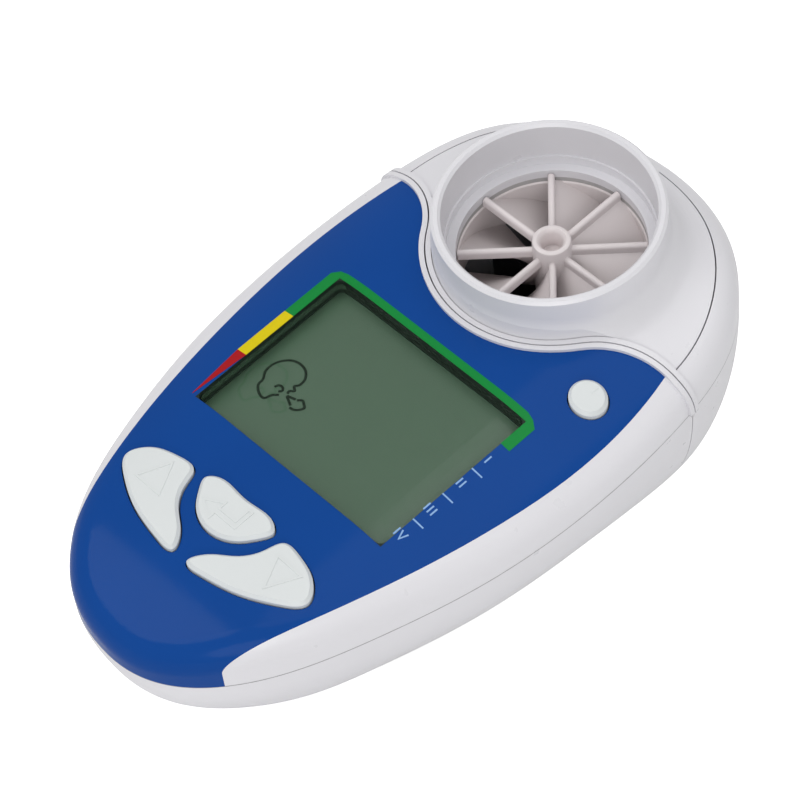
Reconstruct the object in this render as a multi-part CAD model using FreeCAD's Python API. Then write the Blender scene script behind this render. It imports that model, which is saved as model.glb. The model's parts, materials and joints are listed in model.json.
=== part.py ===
import FreeCAD, Part
import math
import os
from FreeCAD import Vector

# Hand-held turbine spirometer, millimetres.
#
# Two frames are used. The deck frame has z = 0 on the centre line of the top
# deck, y along the body from the nose (y = 0) to the flowhead, and z along the
# flowhead's own axis. The base frame has z = 0 on the flat back that the body
# lies on. The deck climbs towards the flowhead, so one is the other turned by
# DECK_TILT about x. Solids are drawn in the frame that suits them, and seat()
# takes a deck solid to the base frame.

# Driving dimensions: body
DECK_TILT = 6.7
NOSE_DEPTH = 26.0
PARTING_DEPTH = 7.8
BODY_LENGTH = 109.2
BODY_HALF_WIDTH = 30.6
WIDEST_Y = 77.0
BODY_SIDE = [(10.6, 3.1), (15.8, 8.2), (24.4, 26.0), (29.3, 43.6), (31.2, 62.0)]
KEEL_NOSE_Y = 16.0
KEEL_TAIL_Y = 101.0
KEEL_HALF_WIDTH = 18.3
KEEL_WIDEST_Y = 84.0
KEEL_SIDE = [(6.0, 17.3), (10.4, 22.4), (13.3, 33.0), (14.1, 46.0), (14.9, 63.0)]
HULL_END_ANGLE = 64.0
CROWN_FLAT = 12.0
CROWN_FALL = 5.2
CROWN_MARGIN = 6.0
NOSE_ROLL_RADIUS = 42.0
NOSE_ROLL_Y = 16.0
TAIL_ROLL_RADIUS = 36.0
TAIL_ROLL_LENGTH = 17.2
SHOULDER_RADIUS = 4.2

# Driving dimensions: walls and gaps
WALL = 2.2
FASCIA_THICKNESS = 1.6
UPPER_SIDE_WALL = 3.0
UPPER_TOP_WALL = 3.4
SEAM_GAP = 0.2
RUNNING_CLEARANCE = 0.05

# Driving dimensions: where the flowhead meets the body
HEAD_ARC_Y = 85.5
HEAD_ARC_RADIUS = 19.0
HEAD_SEAM_Y = 80.5
HEAD_COVE_RADIUS = 14.0
BEAD_WIDTH = 0.75
BEAD_HEIGHT = 0.5
TONGUE_X = 22.5
TONGUE_WIDTH = 5.0
TONGUE_THICKNESS = 1.6
TONGUE_LENGTH = 6.0
TONGUE_ROOT = 4.0
TONGUE_DEPTH = 22.0

# Driving dimensions: fascia
FASCIA_SIDE = [(14.0, 5.0), (16.3, 10.2), (18.9, 17.4), (21.6, 26.2), (24.4, 37.6),
               (26.4, 49.0), (27.5, 60.0), (27.4, 70.0), (25.9, 80.4)]

# Driving dimensions: display
DISPLAY_Y = 47.5
WINDOW_WIDTH = 36.6
WINDOW_LENGTH = 27.5
WINDOW_CORNER = 1.2
WINDOW_LAP = 1.3
WINDOW_THICKNESS = 1.0
WINDOW_DEPTH = 0.5
WINDOW_GAP = 0.1
WINDOW_PLUG_GAP = 0.2
LCD_WIDTH = 37.6
LCD_LENGTH = 29.4
LCD_THICKNESS = 2.6
LCD_DEPTH = 4.0
LCD_CLEARANCE = 0.15
HOLDER_DEPTH = 5.2
HOLDER_WALL = 1.0
HOLDER_SHELF = 3.0
CONNECTOR_WIDTH = 2.0
CONNECTOR_INSET = 1.0
CONNECTOR_EDGE = 0.4

# Driving dimensions: board
BOARD_DEPTH = 10.0
BOARD_THICKNESS = 1.6
BOARD_CLEARANCE = 0.8
BUZZER_Y = 9.4
BUZZER_RADIUS = 5.0
BUZZER_HEIGHT = 2.6
BUZZER_PORT = 0.8
CHIPS = [(-6, 6, 40, 52, 1.6), (10, 15, 44, 50, 1.2), (-16, -9, 34, 38, 1.4), (14, 16, 34, 42, 1.4)]
CANS = [(2.5, 18.5, 52, 5.0), (2.0, -19.0, 50, 4.0)]

# Driving dimensions: keys
SIDE_KEY = [(3.2, 13.7), (9.6, 15.0), (15.3, 17.7), (18.1, 20.8), (16.5, 23.5), (12.4, 25.2),
            (8.8, 25.2), (7.6, 22.4), (5.3, 19.2), (2.0, 16.4), (1.3, 14.1)]
ENTER_KEY = [(0.0, 19.3), (3.9, 20.6), (6.2, 23.3), (6.9, 25.3), (6.1, 26.2), (0.0, 26.6),
             (-6.1, 26.2), (-6.9, 25.3), (-6.2, 23.3), (-3.9, 20.6)]
POWER_KEY_X = 21.6
POWER_KEY_Y = 69.9
POWER_KEY_RADIUS = 2.9
KEY_PROUD = 0.9
KEY_CLEARANCE = 0.2
KEY_FLANGE = 0.6
KEY_FLANGE_THICKNESS = 1.0
KEY_EDGE = 0.45
KEY_SEAT_GAP = 0.15
KEY_TRAVEL = 0.8
MAT_THICKNESS = 0.8
MAT_MARGIN = 4.0
MAT_LENGTH = 11.6
MAT_CORNER = 2.0
DOME_RADIUS = 2.2
SIDE_DOME_X = 11.5
SIDE_DOME_Y = 20.0
ENTER_DOME_Y = 23.2

# Driving dimensions: case screws
NOSE_SCREW_X = 10.5
NOSE_SCREW_Y = 11.5
TAIL_SCREW_X = 24.8
TAIL_SCREW_Y = 62.0
SCREW_RADIUS = 1.1
SCREW_HEAD_RADIUS = 2.0
SCREW_HEAD_HEIGHT = 1.5
SCREW_HEAD_DEPTH = 17.0
SCREW_BITE = 4.0
SCREW_SPARE = 0.5
SCREW_CLEARANCE = 0.1
BOARD_HOLE_CLEARANCE = 0.3
UPPER_BOSS_RADIUS = 2.4
LOWER_BOSS_RADIUS = 3.4

# Driving dimensions: batteries
CELL_RADIUS = 5.25
CELL_LENGTH = 44.5
CELL_GAP = 0.5
STUB_RADIUS = 1.9
STUB_LENGTH = 0.8
CELL_START_Y = 20.4
CONTACT_ROOM = 1.6
CONTACT_THICKNESS = 0.4
CONTACT_HALF_WIDTH = 4.0
CONTACT_RISE = 2.4
TAB_HALF_WIDTH = 1.5
TAB_CLEARANCE = 0.15
SPRING_FOOT = 2.6
SPRING_TIP = 1.2
BAY_CLEARANCE = 0.3
BAY_WALL = 1.2
DOOR_THICKNESS = 1.8
DOOR_RECESS = 0.2
DOOR_HALF_WIDTH = 12.0
DOOR_TONGUE = 1.0
DOOR_TONGUE_THICKNESS = 0.9
DOOR_TONGUE_START = 34.0
DOOR_CLEARANCE = 0.15
RAIL_WALL = 1.6
GRIP_START = 24.0
GRIP_COUNT = 4
GRIP_PITCH = 2.0
GRIP_HALF_WIDTH = 5.0
GRIP_WIDTH = 0.8
GRIP_DEPTH = 0.5

# Driving dimensions: flowhead, all on one axis
TUBE_Y = 85.0
SOCKET_RADIUS = 15.1
SOCKET_OUTER_RADIUS = 16.5
SOCKET_HEIGHT = 8.0
SOCKET_LIP = 0.4
SEAT_WIDTH = 0.3
SOCKET_FOOT = 4.5
LEDGE_THICKNESS = 1.5
COVER_SEAM_Y = 80.0
COVER_SEAM_RADIUS = 26.3
COVER_THICKNESS = 2.0
COVER_LAP = 1.6
SKIRT_WALL = 1.4
SKIRT_DEPTH = 5.0
BORE_RADIUS = 13.3
TUBE_WALL = 1.5
TUBE_LENGTH = 15.0
BARREL_WALL = 1.6
BARREL_SETBACK = 0.5
STATOR_HEIGHT = 6.7
STATOR_RISE = 1.9
HUB_RADIUS = 2.8
HUB_RISE = 1.7
HUB_HOLE_RADIUS = 2.1
HUB_HOLE_DEPTH = 3.0
VANE_COUNT = 8
VANE_THICKNESS = 1.0
VANE_SWEEP = 36.0
VANE_RIB = 1.4
VANE_ROOT = 0.4
OUTLET_SETBACK = 0.4
GASKET_THICKNESS = 0.8
SPINDLE_RADIUS = 0.5
BEARING_RADIUS = 1.5
BEARING_HEIGHT = 1.6
BEARING_DEPTH = 1.2
ROTOR_HEIGHT = 12.8
ROTOR_TIP_GAP = 0.6
ROTOR_THICKNESS = 0.5
SLEEVE_WALL = 0.6
SPINDLE_PLAY = 0.1
BEAM_Y = 74.0
LAMP_RADIUS = 1.5
LAMP_LENGTH = 4.6
LENS_LENGTH = 1.2
LAMP_SETBACK = 3.0
LAMP_CLEARANCE = 0.1
LAMP_BOSS_WALL = 1.0
LAMP_BOSS_LENGTH = 6.0
LAMP_COLLAR = 0.4
LAMP_COLLAR_LENGTH = 0.8
LEAD_SPACING = 1.2
LEAD_WIDTH = 0.4
LEAD_THICKNESS = 0.5
OUTLET_RADIUS = 14.0
GUARD_THICKNESS = 1.4
GUARD_RECESS = 0.5
GUARD_CLEARANCE = 0.1
GUARD_RIM = 1.5
GUARD_BARS = 6
GUARD_BAR_WIDTH = 1.4

# Worked out from the driving dimensions
PARTING_Z = -PARTING_DEPTH
TILT = math.radians(DECK_TILT)
CROWN_REACH = BODY_HALF_WIDTH - CROWN_FLAT
CROWN_RADIUS = (CROWN_REACH ** 2 + CROWN_FALL ** 2) / (2 * CROWN_FALL)
TAIL_ROLL_Y = BODY_LENGTH - TAIL_ROLL_LENGTH
BOARD_TOP = -BOARD_DEPTH
BOARD_BOTTOM = BOARD_TOP - BOARD_THICKNESS
LCD_TOP = -LCD_DEPTH
LCD_BOTTOM = LCD_TOP - LCD_THICKNESS
TUBE_RADIUS = BORE_RADIUS + TUBE_WALL
BARREL_RADIUS = TUBE_RADIUS + SEAM_GAP
GASKET_TOP = -LEDGE_THICKNESS
STATOR_TOP = GASKET_TOP - GASKET_THICKNESS
TUBE_TOP = STATOR_TOP - STATOR_HEIGHT
SEAT_Z = STATOR_TOP + STATOR_RISE + HUB_RISE + SEAM_GAP
TUBE_BOTTOM = TUBE_TOP - TUBE_LENGTH
STACK_BOTTOM = TUBE_BOTTOM - STATOR_HEIGHT
BEAM_Z = (TUBE_TOP + TUBE_BOTTOM) / 2
DOOR_TOP = DOOR_RECESS + DOOR_THICKNESS
BAY_HALF_WIDTH = 2 * CELL_RADIUS + CELL_GAP / 2 + BAY_CLEARANCE
BAY_FRONT = CELL_START_Y - CONTACT_ROOM
BAY_BACK = CELL_START_Y + CELL_LENGTH + CONTACT_ROOM
CELL_Z = DOOR_TOP + BAY_CLEARANCE + CELL_RADIUS
BAY_TOP = CELL_Z + CELL_RADIUS + BAY_CLEARANCE
FLANGE_TOP = UPPER_TOP_WALL + KEY_SEAT_GAP
FLANGE_BOTTOM = FLANGE_TOP + KEY_FLANGE_THICKNESS

# Reaches of the tool solids: past everything, past one face, and for picking edges
FAR = 60.0
PAST = 1.0
PICK = 0.1
ROLL_SWEEP = 50.0
UP = Vector(0, 0, 1)


def back_z(y):
    """Deck-frame height of the flat back under a point of the deck."""
    return -(NOSE_DEPTH + y * math.tan(TILT))


def seat(shape):
    """Take a solid from the deck frame to the base frame."""
    seated = shape.copy()
    seated.rotate(Vector(0, 0, 0), Vector(1, 0, 0), DECK_TILT)
    seated.translate(Vector(0, 0, NOSE_DEPTH * math.cos(TILT)))
    return seated


def box(x0, x1, y0, y1, z0, z1):
    return Part.makeBox(x1 - x0, y1 - y0, z1 - z0, Vector(x0, y0, z0))


def cylinder(radius, x, y, z0, z1):
    return Part.makeCylinder(radius, z1 - z0, Vector(x, y, z0), UP)


def tube(outer, inner, x, y, z0, z1):
    return cylinder(outer, x, y, z0, z1).cut(cylinder(inner, x, y, z0, z1))


def mirrored(shape):
    return shape.mirror(Vector(0, 0, 0), Vector(1, 0, 0))


def left(point):
    return Vector(-point.x, point.y, point.z)


def both_sides(shape):
    return [shape, mirrored(shape)]


# Body outlines

def full_outline(nose_y, side, half_width, widest_y, tail_y):
    """Closed list of points round the body, from the nose by the right side."""
    right = list(side)
    for degrees in (0, 30, 60):
        angle = math.radians(degrees)
        right.append((half_width * math.cos(angle),
                      widest_y + (tail_y - widest_y) * math.sin(angle)))
    left = [(-x, y) for x, y in reversed(right)]
    return [(0.0, nose_y)] + right + [(0.0, tail_y)] + left


def inset(points, distance):
    """Move a closed outline inwards, or outwards where distance is negative."""
    moved = []
    for i, (x, y) in enumerate(points):
        bx, by = points[i - 1]
        ax, ay = points[(i + 1) % len(points)]
        length = math.hypot(ax - bx, ay - by)
        moved.append((x - distance * (ay - by) / length, y + distance * (ax - bx) / length))
    return moved


def spacing(points):
    """Curve parameters of a closed outline, by the distance between its points."""
    values = [0.0]
    for i, (x, y) in enumerate(points):
        nx, ny = points[(i + 1) % len(points)]
        values.append(values[-1] + math.hypot(nx - x, ny - y))
    return values


def closed_wire(points, heights, parameters):
    curve = Part.BSplineCurve()
    curve.interpolate(Points=[Vector(x, y, z) for (x, y), z in zip(points, heights)],
                      PeriodicFlag=True, Parameters=parameters)
    return Part.Wire(curve.toShape())


def prism(points, z0, z1):
    """Upright solid on a smooth closed outline."""
    wire = closed_wire(points, [z0] * len(points), spacing(points))
    return Part.Face(wire).extrude(Vector(0, 0, z1 - z0))


OUTLET_Y = seat(Part.Vertex(0, TUBE_Y, back_z(TUBE_Y))).Point.y
PARTING_OUTLINE = full_outline(0.0, BODY_SIDE, BODY_HALF_WIDTH, WIDEST_Y, BODY_LENGTH)
KEEL_OUTLINE = full_outline(KEEL_NOSE_Y, KEEL_SIDE, KEEL_HALF_WIDTH, KEEL_WIDEST_Y, KEEL_TAIL_Y)


def crown(drop):
    """Block under the deck: flat along the middle, falling at both sides, nose and tail."""
    half, radius = BODY_HALF_WIDTH + CROWN_MARGIN, CROWN_RADIUS - drop
    y, base = NOSE_ROLL_Y, BOARD_BOTTOM

    def on_arc(x):
        sag = radius - math.sqrt(radius ** 2 - (x - CROWN_FLAT) ** 2)
        return Vector(x, y, -drop - sag)

    bend, middle, rim = on_arc(CROWN_FLAT), on_arc((CROWN_FLAT + half) / 2), on_arc(half)
    foot = Vector(half, y, base)
    edges = [Part.makeLine(foot, rim),
             Part.Arc(rim, middle, bend).toShape(),
             Part.makeLine(bend, left(bend)),
             Part.Arc(left(bend), left(middle), left(rim)).toShape(),
             Part.makeLine(left(rim), left(foot)),
             Part.makeLine(left(foot), foot)]
    profile = Part.Face(Part.Wire(edges))
    deck = profile.extrude(Vector(0, TAIL_ROLL_Y - y, 0))
    nose = profile.revolve(Vector(0, y, -NOSE_ROLL_RADIUS), Vector(1, 0, 0), ROLL_SWEEP)
    profile.translate(Vector(0, TAIL_ROLL_Y - y, 0))
    tail = profile.revolve(Vector(0, TAIL_ROLL_Y, -TAIL_ROLL_RADIUS), Vector(-1, 0, 0), ROLL_SWEEP)
    return deck.fuse([nose, tail])


def hull(wall):
    """Solid below the parting line, rounded like a boat down to the flat back."""
    rim = inset(PARTING_OUTLINE, wall)
    keel = inset(KEEL_OUTLINE, wall)
    parameters = spacing(PARTING_OUTLINE)
    end = math.radians(HULL_END_ANGLE)
    sections = []
    for step in range(6):
        angle = end * step / 5
        across = (math.cos(angle) - math.cos(end)) / (1 - math.cos(end))
        down = math.sin(angle) / math.sin(end)
        points = []
        heights = []
        for (rx, ry), (kx, ky) in zip(rim, keel):
            x, y = kx + (rx - kx) * across, ky + (ry - ky) * across
            points.append((x, y))
            heights.append(PARTING_Z + (back_z(y) + wall - PARTING_Z) * down)
        sections.append(closed_wire(points, heights, parameters))
    return Part.makeLoft(sections, True, False)


def rim_edges(body, floor):
    """Edges round the top; those on the seams of the crown run straight along x or y."""
    return [edge for edge in body.Edges if edge.BoundBox.ZMin > floor + PICK
            and edge.BoundBox.XLength > PICK and edge.BoundBox.YLength > PICK]


def upper_block(side, top):
    """Solid above the parting line, side and top taken in by the given walls."""
    return prism(inset(PARTING_OUTLINE, side), PARTING_Z, FAR).common(crown(top))


def upper_body(side, top):
    """The same with a round shoulder."""
    body = upper_block(side, top)
    return body.makeFillet(SHOULDER_RADIUS - side, rim_edges(body, PARTING_Z))


# Where the flowhead meets the body

def head_region(grow):
    """Upright block over the flowhead's plan; grow moves its front edge forward."""
    arc_r, cove_r = HEAD_ARC_RADIUS + grow, HEAD_COVE_RADIUS - grow
    seam_y = HEAD_SEAM_Y - grow
    cove_y = HEAD_SEAM_Y - HEAD_COVE_RADIUS
    reach = HEAD_ARC_RADIUS + HEAD_COVE_RADIUS
    cove_x = math.sqrt(reach ** 2 - (HEAD_ARC_Y - cove_y) ** 2)
    ux, uy = cove_x / reach, (cove_y - HEAD_ARC_Y) / reach
    touch = Vector(arc_r * ux, HEAD_ARC_Y + arc_r * uy, 0)
    top = Vector(cove_x, seam_y, 0)
    mx, my = -ux, 1 - uy
    length = math.hypot(mx, my)
    middle = Vector(cove_x + cove_r * mx / length, cove_y + cove_r * my / length, 0)
    front = Vector(0, HEAD_ARC_Y - arc_r, 0)

    far = Vector(FAR, seam_y, 0)
    corner = Vector(FAR, seam_y + 2 * FAR, 0)
    edges = [Part.makeLine(left(far), left(top)),
             Part.Arc(left(top), left(middle), left(touch)).toShape(),
             Part.Arc(left(touch), front, touch).toShape(),
             Part.Arc(touch, middle, top).toShape(),
             Part.makeLine(top, far),
             Part.makeLine(far, corner),
             Part.makeLine(corner, left(corner)),
             Part.makeLine(left(corner), left(far))]
    block = Part.Face(Part.Wire(edges)).extrude(Vector(0, 0, 2 * FAR))
    block.translate(Vector(0, 0, -FAR))
    return block


BODY_EDGE = head_region(-BEAD_WIDTH)
HEAD_EDGE = head_region(-BEAD_WIDTH - SEAM_GAP)
COVER_EDGE = head_region(-2 * BEAD_WIDTH - SEAM_GAP)
OUTER_HULL = hull(0.0)
INNER_HULL = hull(WALL)
OUTER_TOP = upper_body(0.0, 0.0)
INNER_TOP = upper_block(UPPER_SIDE_WALL, UPPER_TOP_WALL)
RAISED_TOP = upper_body(-BEAD_HEIGHT, -BEAD_HEIGHT)
DECK_SKIN = OUTER_TOP.cut(upper_body(FASCIA_THICKNESS, FASCIA_THICKNESS))


def fascia_region():
    """Upright block over the coloured deck plate."""
    spline = Part.BSplineCurve()
    spline.interpolate([Vector(x, y, 0) for x, y in FASCIA_SIDE])
    right = spline.toShape()
    first, last = FASCIA_SIDE[0], FASCIA_SIDE[-1]
    corners = [Vector(last[0], last[1], 0), Vector(last[0], last[1] + 10, 0),
               Vector(-last[0], last[1] + 10, 0), Vector(-last[0], last[1], 0)]
    nose = [Vector(-first[0], first[1], 0), Vector(-first[0], -10, 0),
            Vector(first[0], -10, 0), Vector(first[0], first[1], 0)]
    edges = [right]
    edges += [Part.makeLine(a, b) for a, b in zip(corners, corners[1:])]
    edges.append(mirrored(right))
    edges += [Part.makeLine(a, b) for a, b in zip(nose, nose[1:])]
    wire = Part.Wire(Part.__sortEdges__(edges))
    block = Part.Face(wire).extrude(Vector(0, 0, 2 * FAR))
    block.translate(Vector(0, 0, -FAR))
    return block


def rounded_block(width, length, corner, y, z0, z1):
    block = box(-width / 2, width / 2, y - length / 2, y + length / 2, z0, z1)
    upright = [e for e in block.Edges if abs(e.tangentAt(e.FirstParameter).z) > 0.9]
    return block.makeFillet(corner, upright)


def key_openings():
    holes = both_sides(prism(SIDE_KEY, -FAR, FAR)) + [prism(ENTER_KEY, -FAR, FAR)]
    holes.append(cylinder(POWER_KEY_RADIUS, POWER_KEY_X, POWER_KEY_Y, -FAR, FAR))
    return holes


def boss_places():
    return [(side * x, y) for x, y in ((NOSE_SCREW_X, NOSE_SCREW_Y), (TAIL_SCREW_X, TAIL_SCREW_Y))
            for side in (1, -1)]


# Casing

def fascia_blank():
    return DECK_SKIN.common(fascia_region()).cut(head_region(0.0))


def make_fascia(blank):
    return blank.cut(key_openings() + [window_opening()])


def window_opening():
    return rounded_block(WINDOW_WIDTH, WINDOW_LENGTH, WINDOW_CORNER, DISPLAY_Y, -FAR, FAR)


def window_plate(gap):
    """Clear plate under the fascia, smaller all round by the gap."""
    lap = 2 * (WINDOW_LAP - gap)
    blank = rounded_block(WINDOW_WIDTH + lap, WINDOW_LENGTH + lap, WINDOW_CORNER, DISPLAY_Y, BOARD_TOP, 0)
    return blank.common(crown(FASCIA_THICKNESS)).cut(crown(FASCIA_THICKNESS + WINDOW_THICKNESS))


def make_window():
    """The plate with its middle raised into the fascia's opening."""
    gap = 2 * WINDOW_PLUG_GAP
    plug = rounded_block(WINDOW_WIDTH - gap, WINDOW_LENGTH - gap, WINDOW_CORNER, DISPLAY_Y, BOARD_TOP, 0)
    plug = plug.common(crown(WINDOW_DEPTH)).cut(crown(FASCIA_THICKNESS + WINDOW_THICKNESS / 2))
    return window_plate(WINDOW_GAP).fuse(plug)


def lcd_block(gap, z0, z1):
    """Block over the display's plan, larger all round by the gap."""
    half, reach = LCD_WIDTH / 2 + gap, LCD_LENGTH / 2 + gap
    return box(-half, half, DISPLAY_Y - reach, DISPLAY_Y + reach, z0, z1)


def make_upper_case(blank):
    solid = OUTER_TOP.cut(BODY_EDGE)
    ridge = RAISED_TOP.common(head_region(0.0)).cut(BODY_EDGE)
    cavity = INNER_TOP.cut(head_region(WALL - BEAD_WIDTH))
    posts = [cylinder(UPPER_BOSS_RADIUS, x, y, -FAR, 0) for x, y in boss_places()]
    case = solid.fuse(ridge).cut(cavity.cut(posts))
    feet = [cylinder(UPPER_BOSS_RADIUS, x, y, BOARD_TOP, PARTING_Z + PAST) for x, y in boss_places()]
    pocket = lcd_block(2 * LCD_CLEARANCE, BOARD_TOP, LCD_TOP + LCD_CLEARANCE)
    case = case.fuse(feet).cut([blank, window_plate(0.0), window_opening(), pocket] + key_openings())
    hole_top = BOARD_TOP + SCREW_BITE + SCREW_SPARE
    holes = [cylinder(SCREW_RADIUS + RUNNING_CLEARANCE, x, y, BOARD_TOP - PAST, hole_top)
             for x, y in boss_places()]
    return case.cut(holes)


def make_lower_case():
    bosses = [cylinder(LOWER_BOSS_RADIUS, x, y, -FAR, BOARD_BOTTOM) for x, y in boss_places()]
    sinks = [cylinder(SCREW_HEAD_RADIUS + SEAM_GAP, x, y, -FAR, -SCREW_HEAD_DEPTH) for x, y in boss_places()]
    holes = [cylinder(SCREW_RADIUS + SCREW_CLEARANCE, x, y, -FAR, PARTING_Z) for x, y in boss_places()]
    cavity = INNER_HULL.cut(head_region(WALL - BEAD_WIDTH)).cut(bosses + lamp_bosses())
    wall = BAY_HALF_WIDTH + BAY_WALL
    block = box(-wall, wall, BAY_FRONT - BAY_WALL, BAY_BACK + BAY_WALL, -PAST, BAY_TOP + BAY_WALL)
    reach = DOOR_HALF_WIDTH + DOOR_TONGUE + RAIL_WALL
    rails = box(-reach, reach, -PAST, BAY_BACK + 2 * BAY_WALL, -PAST, DOOR_TOP + BAY_WALL)
    cavity = seat(cavity).cut([block, rails])
    case = seat(OUTER_HULL.cut(BODY_EDGE)).cut(cavity)
    bay = box(-BAY_HALF_WIDTH, BAY_HALF_WIDTH, BAY_FRONT, BAY_BACK, DOOR_TOP, BAY_TOP)
    bay = bay.common(seat(hull(BAY_WALL)))
    cuts = seat_all(sinks + holes + lamp_holes() + tongue_slots())
    return case.cut(cuts).cut([bay, door_blank(DOOR_CLEARANCE)] + contact_slots())


def seat_all(shapes):
    return [seat(shape) for shape in shapes]


def door_blank(gap):
    """The door and its side tongues as plain blocks, larger by the gap all round."""
    back = BAY_BACK + gap
    low = DOOR_RECESS if gap == 0 else -PAST
    start = DOOR_TONGUE_START if gap == 0 else -PAST
    plate = box(-DOOR_HALF_WIDTH - gap, DOOR_HALF_WIDTH + gap, -PAST, back, low, DOOR_TOP + gap)
    wide = DOOR_HALF_WIDTH + DOOR_TONGUE + gap
    tongue = box(-wide, wide, start, back, DOOR_TOP - DOOR_TONGUE_THICKNESS - gap, DOOR_TOP + gap)
    return plate.fuse(tongue).removeSplitter()


def make_battery_door():
    door = door_blank(0.0).common(seat(OUTER_HULL))
    rows = [GRIP_START + GRIP_PITCH * i for i in range(GRIP_COUNT)]
    grips = [box(-GRIP_HALF_WIDTH, GRIP_HALF_WIDTH, y, y + GRIP_WIDTH, 0, DOOR_RECESS + GRIP_DEPTH)
             for y in rows]
    return door.cut(grips)


# Flowhead

def beam_cylinder(radius, x0, length):
    """Cylinder along the infrared beam, which crosses the flow tube."""
    return Part.makeCylinder(radius, length, Vector(x0, BEAM_Y, BEAM_Z), Vector(1, 0, 0))


def lamp_bosses():
    boss = beam_cylinder(LAMP_RADIUS + LAMP_BOSS_WALL, HEAD_ARC_RADIUS - LAMP_BOSS_LENGTH, LAMP_BOSS_LENGTH)
    return both_sides(boss.cut(head_region(WALL - BEAD_WIDTH - PAST)))


def lamp_holes():
    start = BORE_RADIUS - LAMP_SETBACK
    return both_sides(beam_cylinder(LAMP_RADIUS + LAMP_CLEARANCE, start, HEAD_ARC_RADIUS - LAMP_SETBACK))


def make_lamp():
    """Infrared lamp or cell: a can with a tapered lens on two leads that rise to the board."""
    x0 = HEAD_ARC_RADIUS - LAMP_SETBACK
    rear = x0 + LAMP_LENGTH
    tip = Vector(x0 - LENS_LENGTH, BEAM_Y, BEAM_Z)
    lens = Part.makeCone(LAMP_RADIUS / 2, LAMP_RADIUS, LENS_LENGTH, tip, Vector(1, 0, 0))
    collar = beam_cylinder(LAMP_RADIUS + LAMP_COLLAR, rear, LAMP_COLLAR_LENGTH)
    leads = []
    for side in (-1, 1):
        y = BEAM_Y + side * LEAD_SPACING / 2
        x = rear + (LAMP_COLLAR_LENGTH - LEAD_THICKNESS) / 2
        leads.append(box(x, x + LEAD_THICKNESS, y - LEAD_WIDTH / 2, y + LEAD_WIDTH / 2, BEAM_Z, BOARD_BOTTOM))
    return beam_cylinder(LAMP_RADIUS, x0, LAMP_LENGTH).fuse([lens, collar] + leads).removeSplitter()


def tongue_blocks(gap):
    z = -TONGUE_DEPTH
    block = box(TONGUE_X - TONGUE_WIDTH / 2 - gap, TONGUE_X + TONGUE_WIDTH / 2 + gap,
                HEAD_SEAM_Y - TONGUE_LENGTH - gap, HEAD_SEAM_Y + TONGUE_ROOT,
                z - TONGUE_THICKNESS / 2 - gap, z + TONGUE_THICKNESS / 2 + gap)
    return both_sides(block)


def tongue_slots():
    return [block.common(head_region(WALL)) for block in tongue_blocks(SEAM_GAP)]


def make_rear_shell():
    solid = OUTER_HULL.fuse(OUTER_TOP).common(HEAD_EDGE)
    bead = RAISED_TOP.common(HEAD_EDGE).cut(COVER_EDGE)
    solid = solid.fuse(bead)
    inner_edge = head_region(-BEAD_WIDTH - SEAM_GAP - WALL)
    barrel = cylinder(BARREL_RADIUS + BARREL_WALL, 0, TUBE_Y, -FAR, STATOR_TOP - BARREL_SETBACK)
    low_room = INNER_HULL.common(inner_edge).cut(barrel)
    high_room = INNER_TOP.common(inner_edge).cut(barrel)
    well = cylinder(COVER_SEAM_RADIUS, 0, COVER_SEAM_Y, PARTING_Z, FAR)
    well = well.common(COVER_EDGE).cut(crown(COVER_THICKNESS))
    mouth = cylinder(COVER_SEAM_RADIUS - COVER_LAP, 0, COVER_SEAM_Y, PARTING_Z + PAST / 2, FAR)
    mouth = mouth.common(inner_edge)
    bore = cylinder(BARREL_RADIUS, 0, TUBE_Y, STACK_BOTTOM, FAR)
    throat = cylinder(BORE_RADIUS, 0, TUBE_Y, -FAR, STACK_BOTTOM + PAST)
    shell = solid.cut(low_room).cut(high_room)
    shell = shell.cut([well, mouth.cut(barrel), bore, throat] + lamp_holes())
    shell = shell.fuse([block.cut(inner_edge) for block in tongue_blocks(0.0)])
    return seat(shell).cut(outlet_hole(OUTLET_RADIUS + GUARD_CLEARANCE))


def outlet_hole(radius):
    """Upright hole through the flat back, on the foot of the flow axis."""
    return cylinder(radius, 0, OUTLET_Y, -PAST, GUARD_RECESS + GUARD_THICKNESS + GUARD_CLEARANCE)


def make_outlet_guard():
    z0, z1 = GUARD_RECESS, GUARD_RECESS + GUARD_THICKNESS
    rim = tube(OUTLET_RADIUS, OUTLET_RADIUS - GUARD_RIM, 0, OUTLET_Y, z0, z1)
    disc = cylinder(OUTLET_RADIUS - GUARD_RIM / 2, 0, OUTLET_Y, z0, z1)
    pitch = 2 * OUTLET_RADIUS / (GUARD_BARS + 1)
    bars = []
    for i in range(GUARD_BARS):
        x = -OUTLET_RADIUS + pitch * (i + 1)
        bars.append(box(x - GUARD_BAR_WIDTH / 2, x + GUARD_BAR_WIDTH / 2, 0, 2 * FAR, z0, z1).common(disc))
    return rim.fuse(bars).removeSplitter()


def on_stem(edge):
    """Whether an edge runs round the foot of the mouthpiece socket."""
    middle = edge.valueAt((edge.FirstParameter + edge.LastParameter) / 2)
    reach = math.hypot(middle.x, middle.y - TUBE_Y)
    return abs(reach - SOCKET_OUTER_RADIUS) < PICK and middle.z < SOCKET_HEIGHT / 4


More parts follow.
